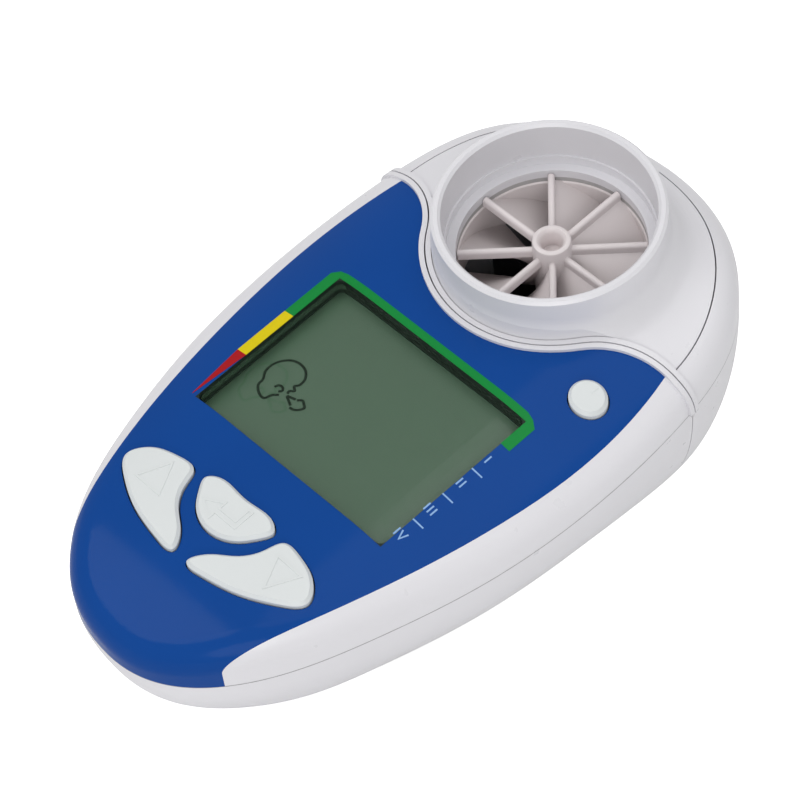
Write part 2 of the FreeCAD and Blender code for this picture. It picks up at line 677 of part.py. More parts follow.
def make_flowhead_cover():
    """Rear deck plate with the socket; the mouthpiece stops on a small step just above the hub."""
    disc = cylinder(COVER_SEAM_RADIUS + SOCKET_FOOT, 0, COVER_SEAM_Y, PARTING_Z, FAR)
    stem = cylinder(SOCKET_OUTER_RADIUS, 0, TUBE_Y, PARTING_Z + PAST, SOCKET_HEIGHT)
    cover = crown(0.0).common(disc).fuse(stem)
    cover = cover.makeFillet(SOCKET_FOOT, [edge for edge in cover.Edges if on_stem(edge)])
    cover = cover.cut(crown(COVER_THICKNESS))
    skirt_radius = BARREL_RADIUS + BARREL_WALL + SEAM_GAP + SKIRT_WALL
    skirt = cylinder(skirt_radius, 0, TUBE_Y, -SKIRT_DEPTH, -COVER_THICKNESS / 2)
    cover = cover.fuse(skirt.common(head_region(-BEAD_WIDTH - 2 * SEAM_GAP - WALL)))
    land = cylinder(BARREL_RADIUS + BARREL_WALL + SEAM_GAP, 0, TUBE_Y, -FAR, GASKET_TOP)
    ledge = cylinder(BORE_RADIUS + SEAM_GAP, 0, TUBE_Y, -FAR, FAR)
    seat_step = cylinder(SOCKET_RADIUS - SEAT_WIDTH, 0, TUBE_Y, 0.0, FAR)
    socket = cylinder(SOCKET_RADIUS, 0, TUBE_Y, SEAT_Z, FAR)
    cover = cover.cut([land, ledge, seat_step, socket])
    lip = [edge for edge in cover.Edges if edge.BoundBox.ZMin > SOCKET_HEIGHT - PICK]
    cover = cover.makeChamfer(SOCKET_LIP, lip)
    trim = cylinder(COVER_SEAM_RADIUS - SEAM_GAP, 0, COVER_SEAM_Y, -FAR, FAR)
    front = head_region(-2 * BEAD_WIDTH - 1.5 * SEAM_GAP)
    return cover.common(trim).common(front)


def swirl_plate(rise, hub_rise, hub_hole):
    """Ring, hub and swirl vanes, with the ring's top face at z = 0."""
    ring = tube(TUBE_RADIUS, BORE_RADIUS, 0, 0, -STATOR_HEIGHT, 0)
    hub = cylinder(HUB_RADIUS, 0, 0, -STATOR_HEIGHT, hub_rise)
    vanes = [swirl_vane(rise, 360.0 * i / VANE_COUNT) for i in range(VANE_COUNT)]
    plate = ring.fuse([hub] + vanes)
    cuts = [cylinder(BEARING_RADIUS, 0, 0, -STATOR_HEIGHT, -STATOR_HEIGHT + BEARING_HEIGHT)]
    if hub_hole:
        cuts.append(cylinder(HUB_HOLE_RADIUS, 0, 0, hub_rise - HUB_HOLE_DEPTH, hub_rise))
    return plate.cut(cuts)


def swirl_vane(rise, azimuth):
    """A vane that starts as an upright rib and sweeps round as it goes down."""
    inner, outer, half = HUB_RADIUS - VANE_ROOT, BORE_RADIUS + VANE_ROOT, VANE_THICKNESS / 2
    rib_foot = rise - VANE_RIB
    sections = []
    for share in (None, 0.0, 0.25, 0.5, 0.75, 1.0):
        z = rise if share is None else rib_foot - (rib_foot + STATOR_HEIGHT) * share
        turn = 0.0 if share is None else -VANE_SWEEP * share
        corners = [(inner, -half), (outer, -half), (outer, half), (inner, half), (inner, -half)]
        wire = Part.makePolygon([Vector(x, y, z) for x, y in corners])
        wire.rotate(Vector(0, 0, 0), UP, turn)
        sections.append(wire)
    vane = Part.makeLoft(sections, True, True)
    limit = cylinder(BORE_RADIUS + VANE_ROOT / 2, 0, 0, -STATOR_HEIGHT, 0)
    if rise > 0:
        limit = limit.fuse(cylinder(BORE_RADIUS - RUNNING_CLEARANCE, 0, 0, -PAST, rise))
    vane = vane.common(limit)
    vane.rotate(Vector(0, 0, 0), UP, azimuth)
    return vane


def make_inlet_stator():
    plate = swirl_plate(STATOR_RISE, STATOR_RISE + HUB_RISE, True)
    plate.translate(Vector(0, TUBE_Y, STATOR_TOP))
    return plate


def make_outlet_stator():
    plate = swirl_plate(-OUTLET_SETBACK, -OUTLET_SETBACK, False)
    plate.rotate(Vector(0, 0, 0), Vector(1, 0, 0), 180)
    plate.translate(Vector(0, TUBE_Y, STACK_BOTTOM))
    return plate


def make_bearing(mouth_z, direction):
    """Cup bearing in a hub, open towards the rotor."""
    far_z = mouth_z + direction * BEARING_HEIGHT
    cup = cylinder(BEARING_RADIUS, 0, TUBE_Y, min(mouth_z, far_z), max(mouth_z, far_z))
    deep_z = mouth_z + direction * BEARING_DEPTH
    hole = cylinder(SPINDLE_RADIUS + RUNNING_CLEARANCE, 0, TUBE_Y, min(mouth_z, deep_z), max(mouth_z, deep_z))
    return cup.cut(hole)


def make_rotor_vane():
    reach = BORE_RADIUS - ROTOR_TIP_GAP
    z0, z1 = BEAM_Z - ROTOR_HEIGHT / 2, BEAM_Z + ROTOR_HEIGHT / 2
    blade = box(-reach, reach, TUBE_Y - ROTOR_THICKNESS / 2, TUBE_Y + ROTOR_THICKNESS / 2, z0, z1)
    sleeve = cylinder(SPINDLE_RADIUS + SLEEVE_WALL, 0, TUBE_Y, z0, z1)
    return blade.fuse(sleeve).cut(cylinder(SPINDLE_RADIUS, 0, TUBE_Y, z0, z1))


def make_spindle():
    return cylinder(SPINDLE_RADIUS, 0, TUBE_Y, TUBE_BOTTOM - BEARING_DEPTH + SPINDLE_PLAY,
                    TUBE_TOP + BEARING_DEPTH - SPINDLE_PLAY)


# Display and board

def make_lcd_holder():
    frame = lcd_block(LCD_CLEARANCE + HOLDER_WALL, BOARD_TOP, -HOLDER_DEPTH)
    nest = lcd_block(LCD_CLEARANCE, LCD_BOTTOM, 0.0)
    middle = lcd_block(-HOLDER_SHELF, BOARD_TOP - PAST, 0.0)
    half = LCD_WIDTH / 2 - HOLDER_SHELF
    slots = lcd_block(LCD_CLEARANCE, BOARD_TOP - PAST, 0.0).common(box(-half, half, 0, 2 * FAR, -FAR, FAR))
    return frame.cut([nest, middle, slots])


def make_lcd_connectors():
    half = LCD_WIDTH / 2 - HOLDER_SHELF - CONNECTOR_INSET
    strips = []
    for side in (-1, 1):
        y = DISPLAY_Y + side * (LCD_LENGTH / 2 - CONNECTOR_WIDTH / 2 - CONNECTOR_EDGE)
        strips.append(box(-half, half, y - CONNECTOR_WIDTH / 2, y + CONNECTOR_WIDTH / 2,
                          BOARD_TOP, LCD_BOTTOM))
    return Part.makeCompound(strips)


def make_board():
    outline = inset(PARTING_OUTLINE, WALL + BOARD_CLEARANCE)
    board = prism(outline, BOARD_BOTTOM, BOARD_TOP)
    board = board.cut(head_region(WALL - BEAD_WIDTH + BOARD_CLEARANCE))
    holes = [cylinder(SCREW_RADIUS + BOARD_HOLE_CLEARANCE, x, y, BOARD_BOTTOM, BOARD_TOP)
             for x, y in boss_places()]
    return board.cut(holes)


def make_components():
    """Chips and cans that hang from the underside of the board."""
    z = BOARD_BOTTOM
    chips = [box(x0, x1, y0, y1, z - height, z) for x0, x1, y0, y1, height in CHIPS]
    return Part.makeCompound(chips + [cylinder(radius, x, y, z - height, z) for radius, x, y, height in CANS])


def make_buzzer():
    z = BOARD_BOTTOM
    can = cylinder(BUZZER_RADIUS, 0, BUZZER_Y, z - BUZZER_HEIGHT, z)
    return can.cut(cylinder(BUZZER_PORT, 0, BUZZER_Y, z - BUZZER_HEIGHT, z - BUZZER_HEIGHT + BUZZER_PORT))


# Keys

def make_key(points):
    cap = prism(inset(points, KEY_CLEARANCE), BOARD_TOP, FAR).common(crown(-KEY_PROUD))
    cap = cap.makeChamfer(KEY_EDGE, rim_edges(cap, BOARD_TOP)).cut(crown(FLANGE_BOTTOM))
    room = prism(inset(PARTING_OUTLINE, UPPER_SIDE_WALL + KEY_CLEARANCE), BOARD_TOP, 0.0)
    flange = prism(inset(points, -KEY_FLANGE), BOARD_TOP, 0.0).common(room)
    flange = flange.common(crown(FLANGE_TOP)).cut(crown(FLANGE_BOTTOM))
    return cap.fuse(flange).removeSplitter()


def make_power_key():
    radius = POWER_KEY_RADIUS - KEY_CLEARANCE
    x, y = POWER_KEY_X, POWER_KEY_Y
    cap = cylinder(radius, x, y, BOARD_TOP, FAR).common(crown(-KEY_PROUD))
    cap = cap.makeChamfer(KEY_EDGE, rim_edges(cap, BOARD_TOP)).cut(crown(FLANGE_BOTTOM))
    flange = cylinder(POWER_KEY_RADIUS + KEY_FLANGE, x, y, BOARD_TOP, 0.0)
    flange = flange.common(crown(FLANGE_TOP)).cut(crown(FLANGE_BOTTOM))
    return cap.fuse(flange).removeSplitter()


def rubber_dome(x, y):
    return cylinder(DOME_RADIUS, x, y, BOARD_TOP + MAT_THICKNESS / 2, 0.0).common(
        crown(FLANGE_BOTTOM + KEY_TRAVEL + KEY_SEAT_GAP))


def make_keypad_mat():
    """Rubber sheet on the board, with a dome under each key."""
    width = 2 * (SIDE_DOME_X + MAT_MARGIN)
    sheet = rounded_block(width, MAT_LENGTH, MAT_CORNER, SIDE_DOME_Y, BOARD_TOP, BOARD_TOP + MAT_THICKNESS)
    domes = [rubber_dome(-SIDE_DOME_X, SIDE_DOME_Y), rubber_dome(SIDE_DOME_X, SIDE_DOME_Y),
             rubber_dome(0.0, ENTER_DOME_Y)]
    return sheet.fuse(domes)


def make_power_mat():
    patch = cylinder(POWER_KEY_RADIUS + KEY_FLANGE, POWER_KEY_X, POWER_KEY_Y,
                     BOARD_TOP, BOARD_TOP + MAT_THICKNESS)
    return patch.fuse(rubber_dome(POWER_KEY_X, POWER_KEY_Y))


# Fasteners and batteries

def make_case_screws():
    screws = []
    for x, y in boss_places():
        head = cylinder(SCREW_HEAD_RADIUS, x, y, -SCREW_HEAD_DEPTH - SCREW_HEAD_HEIGHT, -SCREW_HEAD_DEPTH)
        shank = cylinder(SCREW_RADIUS, x, y, -SCREW_HEAD_DEPTH, BOARD_TOP + SCREW_BITE)
        screws.append(head.fuse(shank))
    return Part.makeCompound(screws)


def cell_places():
    return [side * (CELL_RADIUS + CELL_GAP / 2) for side in (-1, 1)]


def make_cell(x, forward):
    """One cylindrical cell, its stub at the tail end where forward is false."""
    y0 = CELL_START_Y + (STUB_LENGTH if forward else 0.0)
    body = Part.makeCylinder(CELL_RADIUS, CELL_LENGTH - STUB_LENGTH, Vector(x, y0, CELL_Z), Vector(0, 1, 0))
    tip = CELL_START_Y if forward else CELL_START_Y + CELL_LENGTH - STUB_LENGTH
    return body.fuse(Part.makeCylinder(STUB_RADIUS, STUB_LENGTH, Vector(x, tip, CELL_Z), Vector(0, 1, 0)))


def contact_slots():
    slots = []
    for x in cell_places():
        for y in (BAY_FRONT, BAY_BACK - CONTACT_THICKNESS):
            half = TAB_HALF_WIDTH + TAB_CLEARANCE
            slots.append(box(x - half, x + half, y - TAB_CLEARANCE, y + CONTACT_THICKNESS + TAB_CLEARANCE,
                             BAY_TOP - PAST, BAY_TOP + BAY_WALL + PAST))
    return slots


def make_contacts():
    """Four sprung plates with a tab each that rises through the bay's roof to the board."""
    under_board = seat(box(-FAR, FAR, -FAR, 2 * FAR, -FAR, BOARD_BOTTOM))
    plates = []
    for x in cell_places():
        for y, inward in ((BAY_FRONT, 1), (BAY_BACK - CONTACT_THICKNESS, -1)):
            plate = box(x - CONTACT_HALF_WIDTH, x + CONTACT_HALF_WIDTH, y, y + CONTACT_THICKNESS,
                        DOOR_TOP + CONTACT_RISE, BAY_TOP - BAY_CLEARANCE)
            tab = box(x - TAB_HALF_WIDTH, x + TAB_HALF_WIDTH, y, y + CONTACT_THICKNESS,
                      CELL_Z, FAR).common(under_board)
            reach = CONTACT_ROOM - CONTACT_THICKNESS
            start = y + CONTACT_THICKNESS if inward > 0 else y
            dimple = Part.makeCone(SPRING_FOOT, SPRING_TIP, reach, Vector(x, start, CELL_Z),
                                   Vector(0, inward, 0))
            plates.append(plate.fuse([tab, dimple]).removeSplitter())
    return Part.makeCompound(plates)


def build():
    blank = fascia_blank()
    nodes = {
        "lower_case": make_lower_case(),
        "upper_case": seat(make_upper_case(blank)),
        "fascia": seat(make_fascia(blank)),
        "display_window": seat(make_window()),
        "lcd_panel": seat(lcd_block(0.0, LCD_BOTTOM, LCD_TOP)),
        "lcd_holder": seat(make_lcd_holder()),
        "lcd_connectors": seat(make_lcd_connectors()),
        "main_board": seat(make_board()),
        "board_components": seat(make_components()),
        "buzzer": seat(make_buzzer()),
        "keypad_mat": seat(make_keypad_mat()),
        "power_mat": seat(make_power_mat()),
        "down_key": seat(make_key(SIDE_KEY)),
        "up_key": seat(mirrored(make_key(SIDE_KEY))),
        "enter_key": seat(make_key(ENTER_KEY)),
        "power_key": seat(make_power_key()),
        "case_screws": seat(make_case_screws()),
        "battery_cell_left": make_cell(cell_places()[0], True),
        "battery_cell_right": make_cell(cell_places()[1], False),
        "battery_contacts": make_contacts(),
        "battery_door": make_battery_door(),
        "ir_detector": seat(make_lamp()),
        "ir_emitter": seat(mirrored(make_lamp())),
        "rear_shell": make_rear_shell(),
        "flowhead_cover": seat(make_flowhead_cover()),
        "flow_gasket": seat(tube(TUBE_RADIUS, BORE_RADIUS + SEAM_GAP, 0, TUBE_Y, STATOR_TOP, GASKET_TOP)),
        "inlet_stator": seat(make_inlet_stator()),
        "flow_tube": seat(tube(TUBE_RADIUS, BORE_RADIUS, 0, TUBE_Y, TUBE_BOTTOM, TUBE_TOP)),
        "outlet_stator": seat(make_outlet_stator()),
        "upper_bearing": seat(make_bearing(TUBE_TOP, 1)),
        "lower_bearing": seat(make_bearing(TUBE_BOTTOM, -1)),
        "rotor_vane": seat(make_rotor_vane()),
        "rotor_spindle": seat(make_spindle()),
        "outlet_guard": make_outlet_guard(),
    }
    casing = Part.makeCompound([nodes[name] for name in ("upper_case", "lower_case", "rear_shell", "fascia")])
    extent = casing.optimalBoundingBox()
    shift = Vector(0, -(extent.YMin + extent.YMax) / 2, 0)
    os.makedirs("parts", exist_ok=True)
    for name, shape in nodes.items():
        shape.translate(shift)
        shape.exportStep(os.path.join("parts", name + ".step"))
        print(name, len(shape.Solids), "solids, volume", round(shape.Volume, 1))


build()
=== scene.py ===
import json
import math

import bmesh
import bpy
from mathutils import Matrix, Vector


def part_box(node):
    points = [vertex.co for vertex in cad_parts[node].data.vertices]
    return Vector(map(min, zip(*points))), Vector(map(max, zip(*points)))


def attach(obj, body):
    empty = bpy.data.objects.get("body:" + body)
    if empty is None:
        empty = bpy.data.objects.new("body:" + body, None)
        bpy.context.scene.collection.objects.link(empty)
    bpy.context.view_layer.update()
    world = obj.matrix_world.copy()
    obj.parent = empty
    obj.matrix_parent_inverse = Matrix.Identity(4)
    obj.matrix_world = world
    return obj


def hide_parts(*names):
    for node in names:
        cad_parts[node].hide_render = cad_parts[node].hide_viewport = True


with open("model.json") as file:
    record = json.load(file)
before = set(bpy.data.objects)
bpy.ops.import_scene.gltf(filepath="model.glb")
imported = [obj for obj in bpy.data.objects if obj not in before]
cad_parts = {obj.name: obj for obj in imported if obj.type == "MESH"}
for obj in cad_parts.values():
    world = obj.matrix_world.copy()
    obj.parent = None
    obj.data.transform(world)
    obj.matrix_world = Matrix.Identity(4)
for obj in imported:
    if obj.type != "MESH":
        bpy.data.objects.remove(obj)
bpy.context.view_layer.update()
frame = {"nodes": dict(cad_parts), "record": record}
mm = 0.001

# Deck frame: x right, y from the nose to the flowhead, z along the flowhead's axis,
# all in millimetres. deckToRow takes it to the scene.
deck = {"tilt": math.radians(6.7), "noseDepth": 26.0, "firstCellY": 20.4, "parting": -7.8,
        "flat": 12.0, "fall": 5.2, "halfWidth": 30.6, "noseRoll": 42.0, "noseRollY": 16.0,
        "tailRoll": 36.0, "tailRollY": 92.0, "seamHalf": 0.09}
deck["flank"] = ((deck["halfWidth"] - deck["flat"]) ** 2 + deck["fall"] ** 2) / (2 * deck["fall"])
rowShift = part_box("battery_cell_left")[0].y / mm - deck["firstCellY"]
deckToRow = (Matrix.Scale(mm, 4)
             @ Matrix.Translation((0, rowShift, deck["noseDepth"] * math.cos(deck["tilt"])))
             @ Matrix.Rotation(deck["tilt"], 4, "X"))

# Display opening in the deck. The margins round it are those of the painted shadow on the seat,
# the painted shadow on the opening's wall and the part of the window that shows.
opening = {"halfWidth": 18.3, "halfLength": 13.75, "middleY": 47.5, "shadow": (0.021, 0.032, 0.025, 1.0),
           "seatMargin": 1.6, "wallMargin": 0.02, "windowMargin": -0.2}


def crownHeight(x, y):
    # height of the crowned deck: flat along the middle, falling at both sides, nose and tail
    out = max(abs(x) - deck["flat"], 0.0)
    sag = deck["flank"] - math.sqrt(deck["flank"] ** 2 - out ** 2)
    for past, roll in ((deck["noseRollY"] - y, deck["noseRoll"]),
                       (y - deck["tailRollY"], deck["tailRoll"])):
        if past > 0:
            return -roll + math.sqrt((roll - sag) ** 2 - past ** 2)
    return -sag


# Meshes

def meshOf(name, bm):
    mesh = bpy.data.meshes.new(name)
    bm.to_mesh(mesh)
    bm.free()
    return mesh


def addObject(name, content):
    added = bpy.data.objects.new(name, content)
    bpy.context.scene.collection.objects.link(added)
    return added


def placeMesh(name, mesh, material, body, replaces=()):
    piece = addObject(name, mesh)
    mesh.materials.clear()
    mesh.materials.append(material)
    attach(piece, body)
    for node in replaces:
        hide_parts(node)


def placeOnDeck(name, bm, material, body="body"):
    bmesh.ops.recalc_face_normals(bm, faces=bm.faces)
    bm.transform(deckToRow)
    placeMesh(name, meshOf(name, bm), material, body)


def bridge(bm, rows, closed=False):
    # skin over rows of points, with a cap at each end unless it closes on itself
    pairs = list(zip(rows, rows[1:]))
    if closed:
        pairs.append((rows[-1], rows[0]))
    else:
        bm.faces.new(rows[0])
        bm.faces.new(tuple(reversed(rows[-1])))
    for near, far in pairs:
        for k, corner in enumerate(near):
            n = (k + 1) % len(near)
            bm.faces.new((near[n], corner, far[k], far[n]))


def ribbon(bm, left, right, height, lift, thickness, closed=False):
    # closed strip between two lines with as many points each, laid on a surface
    rows = []
    for a, b in zip(left, right):
        tops = [bm.verts.new((x, y, height(x, y) + lift)) for x, y in (a, b)]
        lows = [bm.verts.new((v.co.x, v.co.y, v.co.z - thickness)) for v in tops]
        rows.append((tops[0], tops[1], lows[1], lows[0]))
    bridge(bm, rows, closed)


def strokeSides(points, width, closed=False):
    # the two sides of a stroke of even width along a line of points
    left, right = [], []
    count = len(points)
    for i, (x, y) in enumerate(points):
        bx, by = points[(i - 1) % count] if closed or i > 0 else points[i]
        ax, ay = points[(i + 1) % count] if closed or i < count - 1 else points[i]
        before = Vector((x - bx, y - by)).normalized() if (x, y) != (bx, by) else None
        after = Vector((ax - x, ay - y)).normalized() if (x, y) != (ax, ay) else None
        run = ((before or after) + (after or before)).normalized()
        side = Vector((-run.y, run.x))
        stretch = 1.0
        if before is not None:
            stretch = 1.0 / max(0.5, abs(side.dot(Vector((-before.y, before.x)))))
        left.append((x + side.x * width / 2 * stretch, y + side.y * width / 2 * stretch))
        right.append((x - side.x * width / 2 * stretch, y - side.y * width / 2 * stretch))
    return left, right


def evenPoints(points, step):
    # the same line with a point at least every step
    line = [points[0]]
    for a, b in zip(points, points[1:]):
        parts = max(1, math.ceil(math.dist(a, b) / step))
        line += [(a[0] + (b[0] - a[0]) * i / parts, a[1] + (b[1] - a[1]) * i / parts)
                 for i in range(1, parts + 1)]
    return line


def smoothLine(points, closed=False, parts=6):
    # Catmull-Rom line through the points
    line = []
    count = len(points)
    for i in range(count if closed else count - 1):
        p = [Vector(points[(i + k) % count] if closed else points[min(max(i + k, 0), count - 1)])
             for k in (-1, 0, 1, 2)]
        for step in range(parts):
            t = step / parts
            q = 0.5 * ((2 * p[1]) + (p[2] - p[0]) * t + (2 * p[0] - 5 * p[1] + 4 * p[2] - p[3]) * t ** 2
                       + (3 * p[1] - p[0] - 3 * p[2] + p[3]) * t ** 3)
            line.append((q.x, q.y))
    if not closed:
        line.append(tuple(points[-1]))
    return line


def resample(points, parts):
    # the same line in parts of equal length
    lengths = [0.0]
    for a, b in zip(points, points[1:]):
        lengths.append(lengths[-1] + math.dist(a, b))
    line = []
    for i in range(parts + 1):
        want = lengths[-1] * i / parts
        k = min(max(j for j, length in enumerate(lengths) if length <= want + 1e-9), len(points) - 2)
        share = (want - lengths[k]) / (lengths[k + 1] - lengths[k])
        a, b = points[k], points[k + 1]
        line.append((a[0] + (b[0] - a[0]) * share, a[1] + (b[1] - a[1]) * share))
    return line


# Node trees: one wrapped socket, whose sums and products add Math nodes

class Signal:
    def __init__(self, home, socket):
        self.home = home
        self.socket = socket

    def maths(self, operation, other=0.0, reflected=False):
        pair = (other, self) if reflected else (self, other)
        return self.home.node("ShaderNodeMath", {"operation": operation}, {0: pair[0], 1: pair[1]})

    def __add__(self, other):
        return self.maths("ADD", other)

    def __sub__(self, other):
        return self.maths("SUBTRACT", other)

    def __rsub__(self, other):
        return self.maths("SUBTRACT", other, True)

    def __mul__(self, other):
        return self.maths("MULTIPLY", other)

    def __gt__(self, other):
        return self.maths("GREATER_THAN", other)

    def near(self, other, reach):
        # 1 within reach of the other value, 0 elsewhere
        feeds = {0: self, 1: other, 2: reach}
        return self.home.node("ShaderNodeMath", {"operation": "COMPARE"}, feeds)

    __radd__ = __add__
    __rmul__ = __mul__


class NodeTree:
    def node(self, kind, settings=None, feeds=None, output=0):
        made = self.tree.nodes.new(kind)
        for key, value in (settings or {}).items():
            setattr(made, key, value)
        for key, value in (feeds or {}).items():
            self.feed(made.inputs[key], value)
        return Signal(self, made.outputs[output])

    def feed(self, socket, value):
        if isinstance(value, Signal):
            self.tree.links.new(value.socket, socket)
        else:
            socket.default_value = value


class Paint(NodeTree):
    def __init__(self, name, **fixed):
        self.material = bpy.data.materials.new(name)
        self.material.use_nodes = True
        self.tree = self.material.node_tree
        self.shader = self.tree.nodes["Principled BSDF"]
        for socket, value in fixed.items():
            self.shader.inputs[socket.replace("_", " ")].default_value = value

    def place(self):
        return self.node("ShaderNodeTexCoord", output="Object")

    def deckPart(self, axis):
        # place along one axis of the deck frame, in millimetres
        row = deckToRow.inverted()[axis]
        along = self.node("ShaderNodeVectorMath", {"operation": "DOT_PRODUCT"},
                          {0: self.place(), 1: tuple(row[:3])}, output="Value")
        return along + row[3]

    def overOpening(self, margin):
        # 1 over the display's opening and a margin round it, 0 elsewhere
        return (self.deckPart(0).near(0.0, opening["halfWidth"] + margin)
                * self.deckPart(1).near(opening["middleY"], opening["halfLength"] + margin))

    def noise(self, grain, detail=3.0, place=None):
        # noise whose features are about one grain across, in metres
        return self.node("ShaderNodeTexNoise", {"noise_dimensions": "3D"},
                         {"Vector": place or self.place(), "Scale": 1.0 / grain, "Detail": detail})

    def blend(self, share, first, second):
        # 6 and 7 are the colour sockets of the Mix node
        feeds = {0: share, 6: first, 7: second}
        return self.node("ShaderNodeMix", {"data_type": "RGBA"}, feeds, output=2)

    def bump(self, height, depth, strength=1.0, below=None):
        feeds = {"Height": height, "Distance": depth, "Strength": strength}
        if below:
            feeds["Normal"] = below
        return self.node("ShaderNodeBump", None, feeds)

    def wear(self, **feeds):
        for socket, value in feeds.items():
            self.feed(self.shader.inputs[socket.replace("_", " ")], value)
        return self.material


class Rule(NodeTree):
    # Geometry Nodes tree with named inputs, which repeats a piece by a rule
    kinds = {int: "NodeSocketInt", float: "NodeSocketFloat", tuple: "NodeSocketVector",
             bpy.types.Object: "NodeSocketObject", bpy.types.Material: "NodeSocketMaterial"}

    def __init__(self, name, **given):
        self.tree = bpy.data.node_groups.new(name, "GeometryNodeTree")
        face = self.tree.interface
        face.new_socket("Geometry", in_out="OUTPUT", socket_type="NodeSocketGeometry")
        for label, value in given.items():
            socket = face.new_socket(label, in_out="INPUT", socket_type=self.kinds[type(value)])
            socket.default_value = value
        self.entry = self.tree.nodes.new("NodeGroupInput")

    def given(self, label):
        return Signal(self, self.entry.outputs[label])

    def shape(self, label):
        return self.node("GeometryNodeObjectInfo", None, {"Object": self.given(label)}, output="Geometry")

    def repeat(self, piece, count, offset=(0.0, 0.0, 0.0), turn=None):
        # copies of a piece along a line, or round the z axis where a turn is given
        spots = self.node("GeometryNodeMeshLine", None, {"Count": count, "Offset": offset})
        feeds = {"Points": spots, "Instance": piece}
        if turn is not None:
            step = self.node("GeometryNodeInputIndex") * turn
            feeds["Rotation"] = self.node("ShaderNodeCombineXYZ", None, {"Z": step})
        return self.node("GeometryNodeInstanceOnPoints", None, feeds)

    def grow(self, parts, material):
        # realised, painted and turned into a plain mesh
        joined = self.tree.nodes.new("GeometryNodeJoinGeometry")
        for part in parts:
            self.tree.links.new(part.socket, joined.inputs[0])
        real = self.node("GeometryNodeRealizeInstances", None, {0: Signal(self, joined.outputs[0])})
        painted = self.node("GeometryNodeSetMaterial", None, {"Geometry": real, "Material": material})
        self.tree.links.new(painted.socket, self.tree.nodes.new("NodeGroupOutput").inputs[0])
        carrier = addObject(self.tree.name, bpy.data.meshes.new(self.tree.name))
        modifier = carrier.modifiers.new("rule", "NODES")
        modifier.node_group = self.tree
        shown = carrier.evaluated_get(bpy.context.evaluated_depsgraph_get())
        mesh = bpy.data.meshes.new_from_object(shown)
        carrier.modifiers.remove(modifier)
        bpy.data.objects.remove(carrier)
        return mesh


def linear(red, green, blue, alpha=1.0):
    # a colour as it is read off a screen, 0 to 255
    def channel(value):
        value /= 255
        return value / 12.92 if value <= 0.04045 else ((value + 0.055) / 1.055) ** 2.4
    return (channel(red), channel(green), channel(blue), alpha)


def shade(colour, factor):
    return tuple(c * factor for c in colour[:3]) + (1.0,)


# Finishes

def mouldedPlastic(name, colour, roughness, grain=0.00035, mottle=0.02, coat=0.0, casing=False):
    # injection-moulded skin: a fine spark texture, slow flow marks and a little dust in the gloss
    paint = Paint(name, Coat_Weight=coat, Coat_Roughness=0.08, IOR=1.5)
    flow = paint.noise(0.018, 2.0)
    dust = paint.noise(0.0025, 4.0)
    tone = paint.blend(flow, shade(colour, 1 - mottle), shade(colour, 1 + mottle))
    gloss = roughness + (dust - 0.5) * 0.10 + (flow - 0.5) * 0.06
    spark = paint.bump(paint.noise(grain, 2.0), 0.000004, 0.6)
    if casing:
        # the fine dark line where the two halves of the casing meet
        line = paint.deckPart(2).near(deck["parting"], deck["seamHalf"])
        tone = paint.blend(line * 0.8, tone, shade(colour, 0.3))
        # painted shadow on the seat below the window; the mask has no depth limit, so it also darkens the
        # lower casing and battery door under the opening
        tone = paint.blend(paint.overOpening(opening["seatMargin"]), tone, opening["shadow"])
        spark = paint.bump(1.0 - line, 0.0001, 0.8, spark)
    return paint.wear(Base_Color=tone, Roughness=gloss, Normal=spark)


def glossyPlate(name, colour):
    # polished deck plate: long soft ripple from the mould, hair-fine wipe marks in the gloss,
    # and a painted shadow on the walls inside the display's opening
    paint = Paint(name, Specular_IOR_Level=0.06)
    ripple = paint.noise(0.012, 1.0)
    along = paint.node("ShaderNodeMapping", None,
                       {"Vector": paint.place(), "Rotation": (0, 0, 0.6), "Scale": (1.0, 0.04, 1.0)})
    wipes = paint.noise(0.0004, 2.0, along)
    tone = paint.blend(ripple, shade(colour, 0.96), shade(colour, 1.05))
    # painted shadow on the walls of the display's opening
    tone = paint.blend(paint.overOpening(opening["wallMargin"]), tone, opening["shadow"])
    gloss = 0.13 + (wipes > 0.66) * 0.05 + (ripple - 0.5) * 0.05
    return paint.wear(Base_Color=tone, Roughness=gloss, Normal=paint.bump(ripple, 0.00002, 0.5))


def displayPanel(name, colour):
    # liquid-crystal panel: a very faint grid of cells over a slightly uneven reflector
    paint = Paint(name, IOR=1.5, Coat_Weight=0.3, Coat_Roughness=0.12)
    cloud = paint.noise(0.012, 2.0)
    cells = paint.node("ShaderNodeTexBrick", {"offset": 0.0},
                       {"Vector": paint.place(), "Scale": 1000.0, "Mortar Size": 0.04, "Brick Width": 0.5,
                        "Row Height": 0.5, "Color1": (1, 1, 1, 1), "Color2": (1, 1, 1, 1),
                        "Mortar": (0.0, 0.0, 0.0, 1)}, output="Fac")
    tone = paint.blend(cloud, shade(colour, 0.95), shade(colour, 1.06))
    tone = paint.blend(cells * 0.07, tone, shade(colour, 0.6))
    return paint.wear(Base_Color=tone, Roughness=0.42 + cloud * 0.08)


def clearPlastic(name, tint, alpha, level=0.5, framed=False):
    paint = Paint(name, IOR=1.49, Roughness=0.04, Specular_IOR_Level=level)
    haze = paint.noise(0.006, 2.0)
    rim = paint.node("ShaderNodeLayerWeight", None, {"Blend": 0.25}, output="Fresnel")
    cover = alpha + rim * 0.5 + haze * 0.02
    if framed:
        # the window's edge is hidden inside its opening
        cover = cover * paint.overOpening(opening["windowMargin"])
    return paint.wear(Base_Color=paint.blend(haze, shade(tint, 0.95), tint), Alpha=cover)


def inkFilm(name, colour, roughness=0.35):
    # screen-printed ink, slightly uneven in cover
    paint = Paint(name, IOR=1.5, Specular_IOR_Level=0.15)
    cover = paint.noise(0.0006, 3.0)
    tone = paint.blend(cover, shade(colour, 0.93), shade(colour, 1.05))
    return paint.wear(Base_Color=tone, Roughness=roughness + cover * 0.08,
                      Normal=paint.bump(cover, 0.000006, 0.5))


